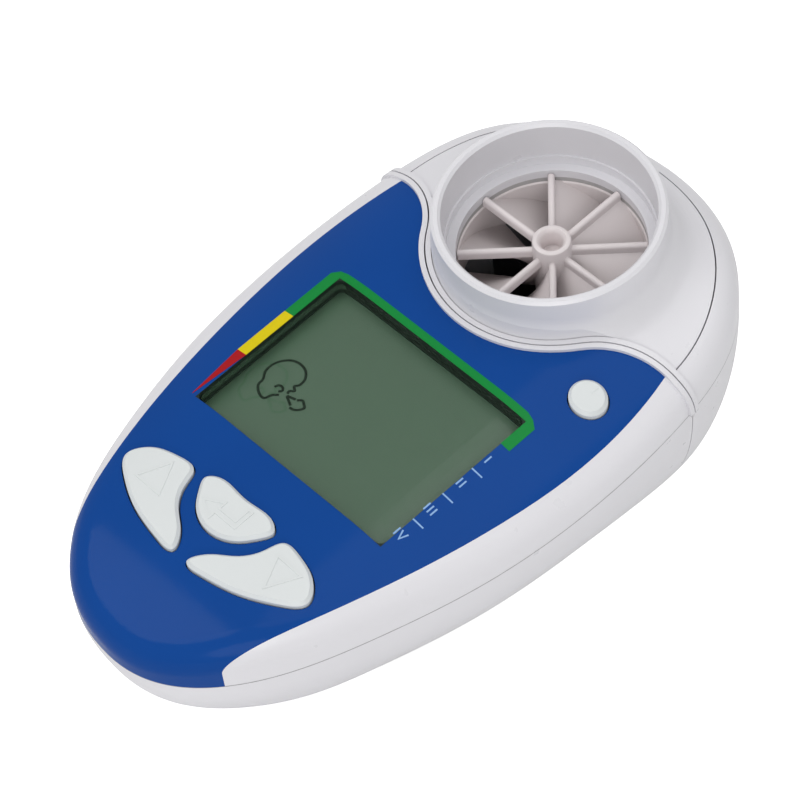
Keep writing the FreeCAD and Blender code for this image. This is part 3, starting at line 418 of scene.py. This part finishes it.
def brushedMetal(name, colour, roughness, grain=0.0002):
    paint = Paint(name, Metallic=1.0)
    along = paint.node("ShaderNodeMapping", None, {"Vector": paint.place(), "Scale": (1.0, 0.05, 1.0)})
    lines = paint.noise(grain, 3.0, along)
    tarnish = paint.noise(0.003, 3.0)
    return paint.wear(Base_Color=paint.blend(tarnish, shade(colour, 0.85), colour),
                      Roughness=roughness + lines * 0.15, Normal=paint.bump(lines, 0.000005, 0.6))


def circuitBoard(name, mask, copper):
    # solder mask over a net of tracks, which show as a lighter, raised pattern
    paint = Paint(name, IOR=1.5, Coat_Weight=0.3)
    tracks = paint.node("ShaderNodeTexBrick", {"offset": 0.37, "squash": 1.6},
                        {"Vector": paint.place(), "Scale": 260.0, "Mortar Size": 0.05, "Brick Width": 0.9,
                         "Row Height": 0.34}, output="Fac")
    weave = paint.noise(0.0008, 2.0)
    tone = paint.blend(weave, shade(mask, 0.85), shade(mask, 1.15))
    tone = paint.blend(tracks * 0.6, tone, copper)
    return paint.wear(Base_Color=tone, Roughness=0.34 + weave * 0.1, Normal=paint.bump(tracks, 0.00003, 0.8))


def softRubber(name, colour):
    paint = Paint(name, IOR=1.45)
    skin = paint.noise(0.0003, 3.0)
    bloom = paint.noise(0.004, 3.0)
    return paint.wear(Base_Color=paint.blend(bloom, shade(colour, 0.92), shade(colour, 1.06)),
                      Roughness=0.62 + skin * 0.2, Normal=paint.bump(skin, 0.00001, 0.7))


def printedSleeve(name, colour, band):
    # plain cell sleeve with a darker band at one end of its length
    paint = Paint(name, IOR=1.5, Coat_Weight=0.4)
    split = paint.node("ShaderNodeSeparateXYZ", None, {0: paint.place()}, output=1)
    scuff = paint.noise(0.0015, 4.0)
    tone = paint.blend(split > -0.022, band, colour)
    return paint.wear(Base_Color=tone, Roughness=0.28 + scuff * 0.18, Metallic=0.35 + scuff * 0.1)


colours = {"casing": linear(222, 221, 225), "deckPlate": linear(18, 68, 142),
           "display": linear(80, 108, 86), "key": linear(215, 219, 219), "innerRing": linear(222, 214, 214),
           "green": linear(10, 132, 56), "yellow": linear(216, 196, 10), "red": linear(164, 16, 24),
           "numeral": linear(140, 178, 222), "segment": linear(8, 14, 12)}

paints = {
    "casing": mouldedPlastic("casingPlastic", colours["casing"], 0.3, casing=True),
    "fascia": glossyPlate("deckPlateBlue", colours["deckPlate"]),
    "window": clearPlastic("windowClear", linear(90, 120, 96), 0.04, 0.15, framed=True),
    "lcd": displayPanel("displayPanelGlass", colours["display"]),
    "black_plastic": mouldedPlastic("holderBlack", linear(28, 28, 30), 0.5),
    "rubber_strip": softRubber("connectorRubber", linear(70, 70, 76)),
    "board": circuitBoard("boardSolderMask", linear(18, 92, 52), linear(60, 140, 80)),
    "components": mouldedPlastic("componentBody", linear(34, 34, 37), 0.45, grain=0.0002),
    "key_rubber": softRubber("keyMatRubber", linear(206, 206, 204)),
    "keys": mouldedPlastic("keyPlastic", colours["key"], 0.42, grain=0.0003, mottle=0.012),
    "steel": brushedMetal("screwSteel", linear(205, 205, 210), 0.25),
    "cell": printedSleeve("cellSleeve", linear(164, 168, 176), linear(60, 66, 78)),
    "contact_metal": brushedMetal("contactPlate", linear(214, 210, 198), 0.22),
    "lamp_dark": clearPlastic("lampResinDark", linear(46, 30, 50), 0.85),
    "lamp_clear": clearPlastic("lampResinClear", linear(200, 206, 214), 0.45),
    "gasket": softRubber("gasketRubber", linear(176, 174, 174)),
    "stator": mouldedPlastic("vanePlastic", colours["innerRing"], 0.36, mottle=0.03),
    "clear_tube": clearPlastic("flowTubeClear", linear(222, 226, 230), 0.25),
    "bearing": mouldedPlastic("bearingJewel", linear(150, 30, 44), 0.15, coat=0.6),
    "vane": mouldedPlastic("rotorVaneFilm", linear(34, 34, 36), 0.5),
}
inks = {
    "barGreen": inkFilm("barGreenInk", colours["green"]),
    "barYellow": inkFilm("barYellowInk", colours["yellow"]),
    "barRed": inkFilm("barRedInk", colours["red"]),
    "numeral": inkFilm("numeralInk", colours["numeral"]),
    "segment": inkFilm("segmentInk", colours["segment"], 0.5),
    # painted shadow of the prompt on the reflector, drawn a little lighter than the panel
    "promptShadow": inkFilm("ghostInk", shade(colours["display"], 1.1), 0.5),
}
slotOf = {row["node"]: row["material_slot"] for row in frame["record"]["subparts"]}
for nodeName, node in frame["nodes"].items():
    node.data.materials.clear()
    node.data.materials.append(paints[slotOf[nodeName]])
print("finishes done:", len(paints) + len(inks))


# Printed scale round the display

bars = {"innerX": 18.3, "leftX": 20.1, "rightX": 19.9, "tipX": 19.1, "tipOuterX": 19.15, "nose": 33.9,
        "redEnd": 43.3, "yellowEnd": 52.3, "corner": 61.27, "top": 62.5, "leftCut": 1.2, "rightCut": 1.6,
        "rightEnd": 56.4, "lift": 0.05, "depth": 0.12, "step": 1.4}
edgeX, outLeft, outRight = bars["innerX"], bars["leftX"], bars["rightX"]
barShapes = {
    "barRed": ("barRed", [(-bars["tipX"], bars["nose"]), (-edgeX, bars["redEnd"])],
               [(-bars["tipOuterX"], bars["nose"]), (-outLeft, bars["redEnd"])]),
    "barYellow": ("barYellow", [(-edgeX, bars["redEnd"]), (-edgeX, bars["yellowEnd"])],
                  [(-outLeft, bars["redEnd"]), (-outLeft, bars["yellowEnd"])]),
    "barGreenSide": ("barGreen", [(-edgeX, bars["yellowEnd"]), (-edgeX, bars["corner"])],
                     [(-outLeft, bars["yellowEnd"]), (-outLeft, bars["corner"])]),
    "barGreenTop": ("barGreen", [(-edgeX, bars["corner"]), (edgeX, bars["corner"])],
                    [(-outLeft, bars["corner"]), (bars["leftCut"] - outLeft, bars["top"]),
                     (outRight - bars["rightCut"], bars["top"]), (outRight, bars["corner"])]),
    "barGreenEnd": ("barGreen", [(edgeX, bars["corner"]), (edgeX, bars["rightEnd"])],
                    [(outRight, bars["corner"]), (outRight, bars["rightEnd"])]),
}
for name, (ink, inner, outer) in barShapes.items():
    bm = bmesh.new()
    span = max(math.dist(inner[0], inner[-1]), math.dist(outer[0], outer[-1]))
    parts = max(2, math.ceil(span / bars["step"]))
    ribbon(bm, resample(inner, parts), resample(outer, parts), crownHeight, bars["lift"], bars["depth"])
    placeOnDeck(name, bm, inks[ink])

# Plain numerals I to IV and the ticks between them, right of the display
numerals = {"height": 1.35, "stroke": 0.22, "spacing": 0.63, "middle": 18.85, "lift": 0.05, "depth": 0.1,
            "rows": ((53.4, 1, 0.0), (48.3, 2, 0.0), (42.5, 3, 0.0), (37.0, 1, -0.75)),
            "fiveShift": 0.25, "fiveHalf": 0.5,
            "tickFrom": 18.32, "tickTo": 20.2, "firstTick": 39.8, "tickPitch": 5.55, "tickCount": 3}


def drawStrokes(bm, lines, settings, height):
    for line in lines:
        left, right = strokeSides(line, settings["stroke"])
        ribbon(bm, left, right, height, settings["lift"], settings["depth"])


strokes = []
for y, count, shift in numerals["rows"]:
    low, high = y - numerals["height"] / 2, y + numerals["height"] / 2
    for i in range(count):
        x = numerals["middle"] + (i - (count - 1) / 2) * numerals["spacing"] + shift
        strokes.append([(x, low), (x, high)])
# the V stands in the last row
five, half = numerals["middle"] + numerals["fiveShift"], numerals["fiveHalf"]
strokes.append([(five - half, high), (five, low), (five + half, high)])
bm = bmesh.new()
drawStrokes(bm, strokes, numerals, crownHeight)
placeOnDeck("sideNumerals", bm, inks["numeral"])

bm = bmesh.new()
drawStrokes(bm, [[(x, numerals["firstTick"]) for x in (numerals["tickFrom"], numerals["tickTo"])]],
            numerals, crownHeight)
bmesh.ops.recalc_face_normals(bm, faces=bm.faces)
bm.transform(deckToRow)
tick = addObject("tickShape", meshOf("tickShape", bm))
pitch = deckToRow.to_3x3() @ Vector((0, numerals["tickPitch"], 0))
ticks = Rule("sideTicks", Shape=tick, Count=numerals["tickCount"], Pitch=tuple(pitch), Ink=inks["numeral"])
tickRow = ticks.repeat(ticks.shape("Shape"), ticks.given("Count"), ticks.given("Pitch"))
placeMesh("sideTicks", ticks.grow([tickRow], ticks.given("Ink")), inks["numeral"], "body")
bpy.data.objects.remove(tick)
print("deck prints done")


# Display: front film close under the window, with a prompt to blow and its faint painted shadow
film = {"lcdTop": -4.0, "drop": 2.66, "gap": 0.12, "cells": 24}
prompt = {"stroke": 0.4, "lift": 0.01, "depth": 0.02, "promptShadow": (-1.7, -2.0)}
headLine = [(-11.2, 42.6), (-11.9, 41.9), (-12.4, 40.8), (-13.6, 41.0), (-14.7, 41.9), (-14.9, 43.0),
            (-15.7, 44.2), (-15.8, 45.6), (-15.3, 46.8), (-14.3, 47.8), (-12.9, 48.2), (-11.5, 47.9),
            (-10.5, 46.9), (-10.3, 45.7), (-10.7, 45.0), (-10.1, 44.5), (-10.6, 44.0), (-10.5, 43.5)]
cheekLine = [(-12.7, 43.1), (-12.4, 43.7), (-11.8, 43.8), (-11.4, 43.4), (-11.7, 42.9)]
puffLines = [[(-10.3, 43.2), (-8.9, 43.6)], [(-10.3, 43.2), (-8.7, 42.4)],
             [(-8.7, 43.6), (-8.1, 44.1), (-7.5, 43.8), (-7.0, 43.4), (-7.3, 42.7), (-7.9, 42.2),
              (-8.6, 42.1)]]


def filmHeight(x, y):
    out = max(abs(x) - deck["flat"], 0.0)
    radius = deck["flank"] - film["drop"]
    return -film["drop"] - radius + math.sqrt(radius ** 2 - out ** 2)


bm = bmesh.new()
halfX, halfY = opening["halfWidth"] - film["gap"], opening["halfLength"] - film["gap"]
across = [-halfX + 2 * halfX * i / film["cells"] for i in range(film["cells"] + 1)]
rows = []
for x in across:
    top, low = filmHeight(x, opening["middleY"]), film["lcdTop"]
    rows.append([bm.verts.new((x, opening["middleY"] + side * halfY, z))
                 for side, z in ((-1, low), (1, low), (1, top), (-1, top))])
bridge(bm, rows)
placeOnDeck("displayFilm", bm, paints["lcd"])

drawn = [smoothLine(headLine), smoothLine(cheekLine)]
drawn += [smoothLine(line) if len(line) > 2 else line for line in puffLines]
# the second copy is the prompt's painted shadow, offset on the reflector
for name, ink, moveBy, lift in (("blowPrompt", "segment", (0.0, 0.0), prompt["lift"]),
                                ("blowGhost", "promptShadow", prompt["promptShadow"], prompt["lift"] / 2)):
    bm = bmesh.new()
    moved = [[(x + moveBy[0], y + moveBy[1]) for x, y in line] for line in drawn]
    drawStrokes(bm, moved, {**prompt, "lift": lift}, filmHeight)
    placeOnDeck(name, bm, inks[ink])
print("display done")


# Inlet vanes: one vane with a rounded rib, repeated round the hub
inlet = {"axisY": 85.0, "top": -2.3, "height": 6.7, "rise": 1.9, "hubTop": 3.6, "hub": 2.8, "bore": 13.3,
         "ring": 14.8, "thickness": 1.0, "rib": 1.4, "sweep": 56.0, "count": 8, "root": 0.4, "pocket": 1.5,
         "pocketDepth": 1.6, "levels": 28, "segments": 64, "ribParts": 5, "ribSteps": (4.7, 4, 3, 2, 1, 0),
         "ribGap": 0.05, "ringEdge": 0.2, "sharp": 35,
         "lip": ((0, -3.0), (1.45, -3.0), (1.6, -0.7), (1.8, -0.25), (2.1, 0), (2.4, 0), (2.68, -0.15),
                 (2.8, -0.45))}


def turned(bm, profile):
    # solid of revolution about z, from points of (radius, height) given as a closed line
    segments = inlet["segments"]
    rings = []
    for radius, height in profile:
        angles = [2 * math.pi * k / segments for k in range(segments if radius else 1)]
        rings.append([bm.verts.new((radius * math.cos(a), radius * math.sin(a), height)) for a in angles])
    for near, far in zip(rings, rings[1:] + rings[:1]):
        for k in range(segments):
            n = (k + 1) % segments
            corners = (near[k % len(near)], near[n % len(near)], far[n % len(far)], far[k % len(far)])
            face = list(dict.fromkeys(corners))
            if len(face) > 2:
                bm.faces.new(face)


def vaneShape(bm):
    # rounded rib above its foot, then the blade, which turns further the lower it goes
    half, foot = inlet["thickness"] / 2, inlet["rise"] - inlet["rib"]
    drop = foot + inlet["height"]
    heights = []
    for k in inlet["ribSteps"]:
        angle = math.pi / 2 * k / inlet["ribParts"]
        heights.append((inlet["rise"] - half * (1 - math.sin(angle)), math.cos(angle)))
    heights += [(foot - drop * k / inlet["levels"], 1.0) for k in range(inlet["levels"] + 1)]
    inner = inlet["hub"] - inlet["root"]
    rows = []
    for z, share in heights:
        turn = -math.radians(inlet["sweep"]) * max(0.0, (foot - z) / drop)
        reach = inlet["bore"] + (inlet["root"] if z < 0 else -inlet["ribGap"])
        row = []
        for r, side in ((inner, 1), (reach, 1), (reach, -1), (inner, -1)):
            corner = Vector((r, side * half * share))
            corner.rotate(Matrix.Rotation(turn, 2))
            row.append(bm.verts.new((corner.x, corner.y, z)))
        rows.append(row)
    bridge(bm, rows)


axisPlace = deckToRow @ Matrix.Translation((0, inlet["axisY"], inlet["top"]))
low, pocket = -inlet["height"], inlet["pocketDepth"] - inlet["height"]
bm = bmesh.new()
vaneShape(bm)
bmesh.ops.recalc_face_normals(bm, faces=bm.faces)
vane = addObject("vaneShape", meshOf("vaneShape", bm))
bm = bmesh.new()
turned(bm, [(r, inlet["hubTop"] + z) for r, z in inlet["lip"]]
       + [(inlet["hub"], low), (inlet["pocket"], low), (inlet["pocket"], pocket), (0, pocket)])
turned(bm, [(inlet["bore"], -inlet["ringEdge"]), (inlet["bore"] + inlet["ringEdge"], 0), (inlet["ring"], 0),
            (inlet["ring"], low), (inlet["bore"], low)])
bmesh.ops.recalc_face_normals(bm, faces=bm.faces)
hub = addObject("hubShape", meshOf("hubShape", bm))
swirl = Rule("inletVanes", Vane=vane, Hub=hub, Count=inlet["count"], Step=2 * math.pi / inlet["count"],
             Plastic=paints["stator"])
fan = swirl.repeat(swirl.shape("Vane"), swirl.given("Count"), turn=swirl.given("Step"))
vaneMesh = swirl.grow([fan, swirl.shape("Hub")], swirl.given("Plastic"))
vaneMesh.transform(axisPlace)
vaneMesh.shade_smooth()
vaneMesh.set_sharp_from_angle(angle=math.radians(inlet["sharp"]))
placeMesh("inletVanes", vaneMesh, paints["stator"], "flowhead", ["inlet_stator"])
for shape in (vane, hub):
    bpy.data.objects.remove(shape)
print("inlet vanes done")


# Key signs: raised outlines on the keys
sign = {"stroke": 0.3, "step": 1.0, "lift": 0.09, "depth": 0.3, "proud": 0.9}


def keyTop(x, y):
    return crownHeight(x, y) + sign["proud"]


signs = {
    "upSign": ("up_key", [(-13.7, 18.9), (-11.5, 23.6), (-9.0, 18.8)], True),
    "downSign": ("down_key", [(10.1, 22.9), (14.7, 22.8), (12.4, 18.2)], True),
    "enterSign": ("enter_key", [(-4.0, 22.4), (-1.3, 24.0), (-1.3, 22.8), (1.9, 22.8), (1.9, 25.3),
                                (2.6, 25.3), (2.6, 22.0), (-1.3, 22.0), (-1.3, 20.8)], True),
    "powerSign": ("power_key", [(21.6, 70.5), (21.6, 71.9)], False),
}
for name, (body, line, closed) in signs.items():
    bm = bmesh.new()
    path = evenPoints(line + line[:1], sign["step"])[:-1] if closed else evenPoints(line, sign["step"])
    left, right = strokeSides(path, sign["stroke"], closed)
    ribbon(bm, left, right, keyTop, sign["lift"], sign["depth"], closed)
    placeOnDeck(name, bm, paints["keys"], body)
print("key signs done")


# Floor, lights and camera
stageSettings = {"floorSize": 3.0, "floorZ": -0.0002, "floorGlow": 0.7, "lampDistance": 0.9,
                 "worldStrength": 0.56}
lamps = {"keyLight": {"azimuth": -50, "elevation": 60, "size": 0.5, "watts": 1.8},
         "fillLight": {"azimuth": 45, "elevation": 32, "size": 0.6, "watts": 2.3},
         "topLight": {"azimuth": 180, "elevation": 75, "size": 0.6, "watts": 1.1}}
view = {"azimuth": 45.92, "elevation": 49.34, "place": (244.754, -134.51, 415.87), "lens": 170.62}


def outward(azimuth, elevation):
    # direction from the object to a lamp or camera
    a, e = math.radians(azimuth), math.radians(elevation)
    return Vector((math.sin(a) * math.cos(e), -math.cos(a) * math.cos(e), math.sin(e)))


bm = bmesh.new()
bmesh.ops.create_grid(bm, x_segments=1, y_segments=1, size=stageSettings["floorSize"])
floor = addObject("floor", meshOf("floor", bm))
floor.location.z = stageSettings["floorZ"]
# the floor glows white for the camera alone
paper = Paint("floorPaper", Roughness=0.9, Emission_Strength=stageSettings["floorGlow"])
fibre = paper.noise(0.002, 2.0)
seen = paper.node("ShaderNodeLightPath", output="Is Camera Ray")
surface = paper.wear(Base_Color=paper.blend(fibre, (0.86, 0.86, 0.86, 1), (0.9, 0.9, 0.9, 1)),
                     Emission_Color=paper.blend(seen, (0, 0, 0, 1), (1, 1, 1, 1)))
floor.data.materials.append(surface)

for name, lamp in lamps.items():
    light = bpy.data.lights.new(name, "AREA")
    light.shape = "DISK"
    light.size = lamp["size"]
    light.energy = lamp["watts"]
    direction = outward(lamp["azimuth"], lamp["elevation"])
    placed = addObject(name, light)
    placed.location = direction * stageSettings["lampDistance"]
    placed.rotation_euler = direction.to_track_quat("Z", "Y").to_euler()
world = bpy.data.worlds.new("studio")
world.use_nodes = True
background = world.node_tree.nodes["Background"]
background.inputs["Color"].default_value = (1, 1, 1, 1)
background.inputs["Strength"].default_value = stageSettings["worldStrength"]
bpy.context.scene.world = world

cameraData = bpy.data.cameras.new("camera")
cameraData.sensor_width = 36.0
cameraData.lens = view["lens"]
cameraData.clip_start = 0.01
camera = addObject("camera", cameraData)
camera.location = deckToRow @ Vector(view["place"])
camera.rotation_euler = outward(view["azimuth"], view["elevation"]).to_track_quat("Z", "Y").to_euler()
bpy.context.scene.camera = camera
bpy.context.scene.view_settings.view_transform = "Standard"
